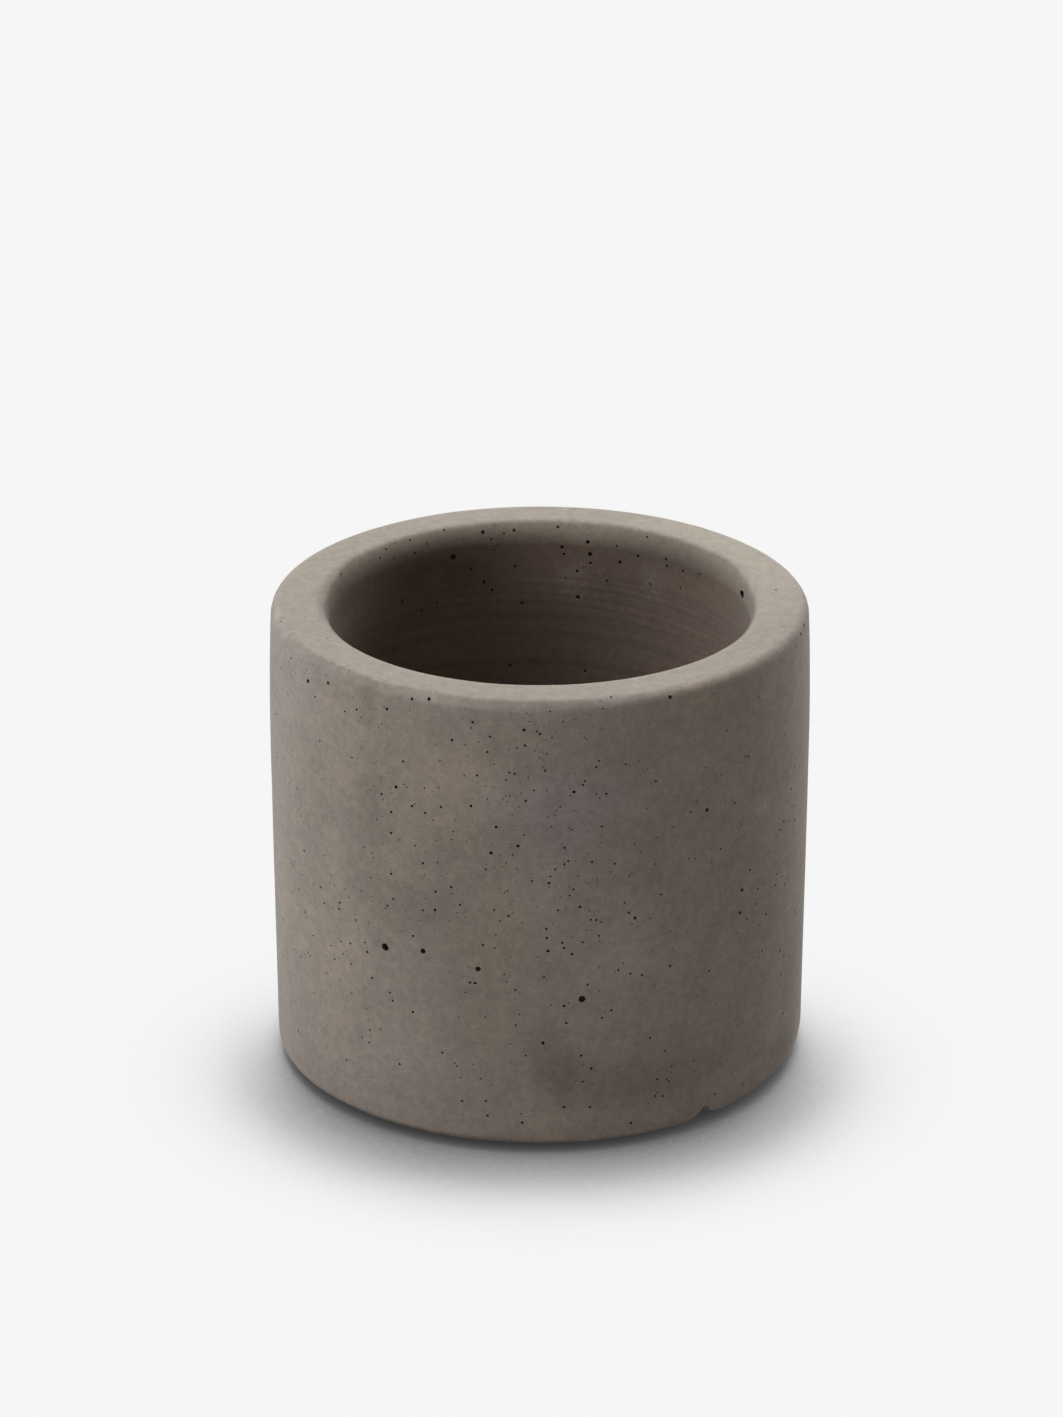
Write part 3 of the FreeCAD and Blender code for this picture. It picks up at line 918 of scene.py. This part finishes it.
# the rest are strewn: how many, the span of radii in millimetres, and between which heights, or distances
# from the axis, or for the two flat parts shares of their area
strewnParts = {
    "outside": dict(count=1300, radii=(0.17, 0.38), span=(potLow.z + 5 * mm, potHigh.z - 2 * mm)),
    "inside": dict(count=150, radii=(0.18, 0.46), span=(cavityFloor + 4 * mm, potHigh.z - 2 * mm)),
    "rim": dict(count=36, radii=(0.14, 0.26), span=(mouthRadius + 0.6 * mm, potHigh.x - 1.5 * mm)),
    "floor": dict(count=36, radii=(0.16, 0.45), span=(0.07, 0.8)),
    "underside": dict(count=60, radii=(0.16, 0.55), span=(0.07, 0.8)),
}
pitForm = {
    "seed": 41,
    "clump": 26 * mm,  # they gather in drifts of this size
    "driftShare": 0.9,  # how likely a pit is in the middle of a drift, and of a crowd
    "crowdShare": 0.8,
    "smallness": 2.0,  # small pits are the more common ones
    "apart": 0.22 * mm,
    "sunk": 0.35,  # how far the bubble's middle lies under the surface, in radii
    "lumpy": 0.16,
    "lumps": 1.7,
    "level": 0.05,  # a surface that leans less than this counts as level
    "fineness": ((0.6 * mm, 3), (0.3 * mm, 2), (0, 1)),  # larger pits have finer meshes
}
# where the photograph shows them gathered: pixel and reach in millimetres
pitCrowds = (((560, 840), 22), ((500, 800), 15), ((612, 905), 13), ((350, 945), 14), ((400, 815), 12),
             ((540, 745), 12), ((585, 550), 12), ((500, 540), 12))
# a notch broken out of the base edge
baseNotch = {
    "pixel": (705, 1108),
    "depth": 8 * mm,
    "spare": 1 * mm,  # the cutter sticks out this far
    "innerHeight": 0.4,  # of its height at the edge
    # millimetres right along the edge and up from the underside
    "outline": ((-11, 0.1), (-5, 1.3), (-2.3, 2.7), (-0.2, 4.6),
                (0.8, 4.2), (2.0, 2.2), (7.0, 0.9), (11, 0.1)),
}


def ballShape(fineness):
    ball = bmesh.new()
    bmesh.ops.create_icosphere(ball, subdivisions=fineness, radius=1)
    corners = [v.co.copy() for v in ball.verts]
    faces = [[v.index for v in f.verts] for f in ball.faces]
    ball.free()
    return corners, faces


balls = {fineness: ballShape(fineness) for _, fineness in pitForm["fineness"]}


# a lumpy ball with its own sizes along the surface, up it and out of it
def addLump(lumps, middle, normal, sizes, fineness):
    along = upright.cross(normal)
    level = along.length <= pitForm["level"]
    along = Vector((1, 0, 0)) if level else along.normalized()
    upward = normal.cross(along)
    corners, faces = balls[fineness]
    first = len(lumps["verts"])
    shift = middle / mm
    for corner in corners:
        swell = 1 + pitForm["lumpy"] * noise.noise(corner * pitForm["lumps"] + shift)
        step = along * corner.x * sizes[0] + upward * corner.y * sizes[1] + normal * corner.z * sizes[2]
        lumps["verts"].append(middle + step * swell)
    lumps["faces"] += [[first + i for i in face] for face in faces]


def addPit(lumps, pits, place, normal, radius, tall=1.0):
    for other, otherRadius in pits:
        if (other - place).length < radius * tall + otherRadius + pitForm["apart"]:
            return False
    pits.append((place, radius * tall))
    fineness = next(level for least, level in pitForm["fineness"] if radius > least)
    middle = place - normal * radius * pitForm["sunk"]
    addLump(lumps, middle, normal, (radius, radius * tall, radius), fineness)
    return True


def addPhotoPits(lumps, pits):
    addPit(lumps, pits, *potSpot(sidePit["pixel"]), sidePit["radius"] * mm, sidePit["tall"])
    for group in photoPits.values():
        for right, down, radius in group:
            addPit(lumps, pits, *potSpot((right, down)), radius * mm)


# a random ray onto one part of the pot, from well outside or from the axis
def strewnRay(part, draw):
    angle = draw.uniform(0, 2 * math.pi)
    turn = Vector((math.cos(angle), math.sin(angle), 0))
    spot = draw.uniform(*strewnParts[part]["span"])
    if part == "outside":
        return turn * 2 * potHigh.x + upright * spot, -turn
    if part == "inside":
        return upright * spot, turn
    if part == "rim":
        return turn * spot + upright, -upright
    if part == "floor":
        return turn * math.sqrt(spot) * mouthRadius + upright, -upright
    return turn * math.sqrt(spot) * potHigh.x - upright, upright


# how likely a pit is at a spot
def crowding(place, crowds):
    share = pitForm["driftShare"] * unitNoise(place / pitForm["clump"]) ** 2
    for middle, reach in crowds:
        share += pitForm["crowdShare"] * math.exp(-((place - middle).length / reach) ** 2)
    return share


def addStrewnPits(lumps, pits):
    draw = random.Random(pitForm["seed"])
    crowds = [(potSpot(pixel)[0], reach * mm) for pixel, reach in pitCrowds]
    for part, wanted in strewnParts.items():
        low, high = wanted["radii"]
        left = wanted["count"]
        while left:
            place, normal, *_ = potTree.ray_cast(*strewnRay(part, draw))
            radius = (low + (high - low) * draw.random() ** pitForm["smallness"]) * mm
            likely = draw.random() < crowding(place, crowds)
            if likely and addPit(lumps, pits, place, normal, radius):
                left -= 1


# where points near the pot fall on its unrolled map
def unrolled(points):
    section = np.array([row[1:] for row in potRows])
    legs = np.roll(section, -1, axis=0) - section
    lengths = np.linalg.norm(legs, axis=1)
    flat = np.stack([np.hypot(points[:, 0], points[:, 1]), points[:, 2]], axis=1)
    nearest, way = np.full(len(points), np.inf), np.zeros(len(points))
    for corner, leg, length, start in zip(section, legs, lengths, np.cumsum(lengths) - lengths):
        share = np.clip((flat - corner) @ leg / length**2, 0, 1)
        gap = np.linalg.norm(flat - corner - share[:, None] * leg, axis=1)
        nearer = gap < nearest
        nearest[nearer] = gap[nearer]
        way[nearer] = start + share[nearer] * length
    turn = np.arctan2(points[:, 1], points[:, 0]) / (2 * math.pi) % 1
    return np.stack([turn, way / lengths.sum()], axis=1)


def lumpCutter(name, lumps, material):
    mesh = bpy.data.meshes.new(name)
    mesh.from_pydata(lumps["verts"], [], lumps["faces"])
    spots = unrolled(np.array(lumps["verts"]))[np.array(lumps["faces"])]
    turns = spots[:, :, 0]
    halfWay = 0.5
    torn = turns.max(axis=1) - turns.min(axis=1) > halfWay  # faces over the map's seam
    turns[torn[:, None] & (turns < halfWay)] = 1.0
    addUnrolled(mesh, spots.reshape(-1, 2))
    return addPiece(name, mesh, material)


def cutOut(target, cutter):
    cut = target.modifiers.new(cutter.name, "BOOLEAN")
    cut.operation = "DIFFERENCE"
    cut.solver = "MANIFOLD"
    cut.material_mode = "TRANSFER"
    cut.object = cutter
    graph = bpy.context.evaluated_depsgraph_get()
    mesh = bpy.data.meshes.new_from_object(target.evaluated_get(graph))
    target.modifiers.clear()
    old = target.data
    target.data = mesh
    bpy.data.meshes.remove(old)
    bpy.data.objects.remove(cutter)


# four corners at each point of the notch's outline, joined up and closed at both ends
def cutNotch(target, material):
    place, _ = potSpot(baseNotch["pixel"])
    foot = Vector((place.x, place.y, potLow.z))
    outward = Vector((place.x, place.y, 0)).normalized()
    along = upright.cross(outward)
    spare, depth = baseNotch["spare"], baseNotch["depth"]
    verts, faces = [], []
    for right, high in baseNotch["outline"]:
        outerTop, innerTop = high * mm, baseNotch["innerHeight"] * high * mm
        for up, out in ((-spare, spare), (outerTop, spare), (innerTop, -depth), (-spare, -depth)):
            verts.append(foot + along * right * mm + outward * out + upright * up)
    last = len(verts) - 4
    quads = [(0, 1, 2, 3), (last + 3, last + 2, last + 1, last)]
    for here in range(0, last, 4):
        for side, beside in ((0, 1), (1, 2), (2, 3), (3, 0)):
            quads.append((here + side, here + 4 + side, here + 4 + beside, here + beside))
    for a, b, c, d in quads:
        faces += [[a, b, c], [a, c, d]]
    cutOut(target, lumpCutter("notchCutter", {"verts": verts, "faces": faces}, material))


def cutPits(target, material):
    pits, lumps = [], {"verts": [], "faces": []}
    addPhotoPits(lumps, pits)
    addStrewnPits(lumps, pits)
    cutOut(target, lumpCutter("pitCutter", lumps, material))
    return len(pits)


castConcrete = concreteMaterial()
potMesh.materials.append(castConcrete)
cutNotch(pot, castConcrete)
# the cut pits take the near-black painted shade on their walls
pitCount = cutPits(pot, pitPaintedShadeMaterial())
smoothed(pot.data, potForm["sharpEdge"])
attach(pot, "pot")
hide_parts("pot_body")
potTriangles = sum(len(p.vertices) - 2 for p in pot.data.polygons)
print("pits cut:", pitCount, "pits,", potTriangles, "triangles,", len(pot.data.materials), "materials")


# rubber: the plug's dark grey and the feet's black
plugRubber = dict(dark=(0.040, 0.039, 0.037), pale=(0.075, 0.072, 0.068), dust=0.5, roughness=(0.52, 0.74))
footRubber = dict(dark=(0.020, 0.020, 0.020), pale=(0.042, 0.042, 0.041), dust=0.3, roughness=(0.58, 0.80))
rubber = {
    "grains": 2400.0,
    "grainTones": (0.85, 1.15),
    "bloom": dict(waves=180.0, detail=4.0, rough=0.6, span=(0.35, 0.68)),
    "bump": 0.18,
    "bumpDepth": 0.08 * mm,
    "reliefDepth": 0.04 * mm,
    "reliefWave": 6 * mm,
    "roundSteps": 4,
    "sharpEdge": 50,  # degrees
}


def rubberMaterial(name, finish):
    material, tree = newMaterial(name)
    place = spotOf(tree)
    grain = placeGroup(tree, sandGrain, {"Vector": place, "Grains": rubber["grains"]})
    bloom = layerTone(tree, place, rubber["bloom"])
    colour = tint(tree, bloom, finish["dark"], finish["pale"])
    colour = dimmed(tree, colour, stretch(tree, grain["Tone"], *grainSpan, *rubber["grainTones"]))
    dust = dustOn(tree, place, finish["dust"])
    colour = tint(tree, dust, colour, concrete["warm"])
    rough = stretch(tree, grain["Tone"], *grainSpan, *finish["roughness"])
    rough = plus(tree, rough, dust, clamp=True)
    normal = bumpFrom(tree, grain["Height"], rubber["bump"], rubber["bumpDepth"])
    showSolid(tree, colour, rough, normal)
    return material


def rubberUneven(part, place):
    return rubber["reliefDepth"] * unitNoise(place / rubber["reliefWave"])


# drain plug: a stem with sealing ribs, a flange and a knob to pull it by
plugForm = {
    "segments": 96,
    "stemRadius": 5.1 * mm,
    "ribRadius": 5.8 * mm,
    "ribSlope": 2.4 * mm,
    "ribFlats": (8.0 * mm, 2.5 * mm),  # under the flange
    "ribRound": 0.2 * mm,
    "tipRound": 0.6 * mm,
    "headThickness": 2.5 * mm,
    "headRound": 0.8 * mm,
    "headLowRound": 0.3 * mm,
    "knobRadius": 4.5 * mm,
    "knobRound": 1.0 * mm,
    "knobRoot": 0.7 * mm,
    "gateRadius": 1.1 * mm,  # dimple left by the mould's gate
    "gateTaper": 0.8,
    "gateDepth": 0.4 * mm,
    "row": 0.9 * mm,
}


def plugRows():
    form = plugForm
    seat, top, tip = cavityFloor, plugHigh.z, plugLow.z
    stem, head, knob, ease = form["stemRadius"], plugHigh.y, form["knobRadius"], form["ribRound"]
    corners = [(axisGap, tip, 0), (stem, tip, form["tipRound"])]
    for flat in form["ribFlats"]:
        corners.append((stem, seat - flat - form["ribSlope"], ease))
        corners.append((form["ribRadius"], seat - flat, ease))
        corners.append((stem, seat - flat, ease))
    headTop, gateFloor = seat + form["headThickness"], top - form["gateDepth"]
    corners += [
        (stem, seat, ease),
        (head, seat, form["headLowRound"]),
        (head, headTop, form["headRound"]),
        (knob, headTop, form["knobRoot"]),
        (knob, top, form["knobRound"]),
        (form["gateRadius"], top, ease),
        (form["gateRadius"] * form["gateTaper"], gateFloor, ease),
        (axisGap, gateFloor, 0),
    ]
    return roundedRows("rubber", corners, form["row"], rubber["roundSteps"])


def makePlug():
    mesh = turnedMesh("rubberPlug", plugRows(), plugForm["segments"], rubberUneven, closed=False)
    plug = addPiece("rubberPlug", mesh, rubberMaterial("plugRubber", plugRubber))
    smoothed(mesh, rubber["sharpEdge"])
    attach(plug, "plug")
    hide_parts("drain_plug")


makePlug()
print("plug moulded")


# feet: stick-on discs with a rounded lower edge
footForm = {"segments": 72, "lowerRound": 0.6 * mm, "upperRound": 0.2 * mm, "row": 1.0 * mm}


def makeFoot(node, material):
    low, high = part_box(node)
    radius = (high.y - low.y) / 2
    corners = [(axisGap, low.z, 0), (radius, low.z, footForm["lowerRound"])]
    corners += [(radius, high.z, footForm["upperRound"]), (axisGap, high.z, 0)]
    rows = roundedRows("rubber", corners, footForm["row"], rubber["roundSteps"])
    middle = Vector(((low.x + high.x) / 2, (low.y + high.y) / 2, 0))
    name = f"rubberFoot{node[-1]}"
    mesh = turnedMesh(name, rows, footForm["segments"], rubberUneven, middle, closed=False)
    foot = addPiece(name, mesh, material)
    smoothed(mesh, rubber["sharpEdge"])
    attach(foot, "pot")
    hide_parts(node)


footMaterial = rubberMaterial("footRubber", footRubber)
for footName in footNames:
    makeFoot(footName, footMaterial)
print("feet moulded:", len(footNames))
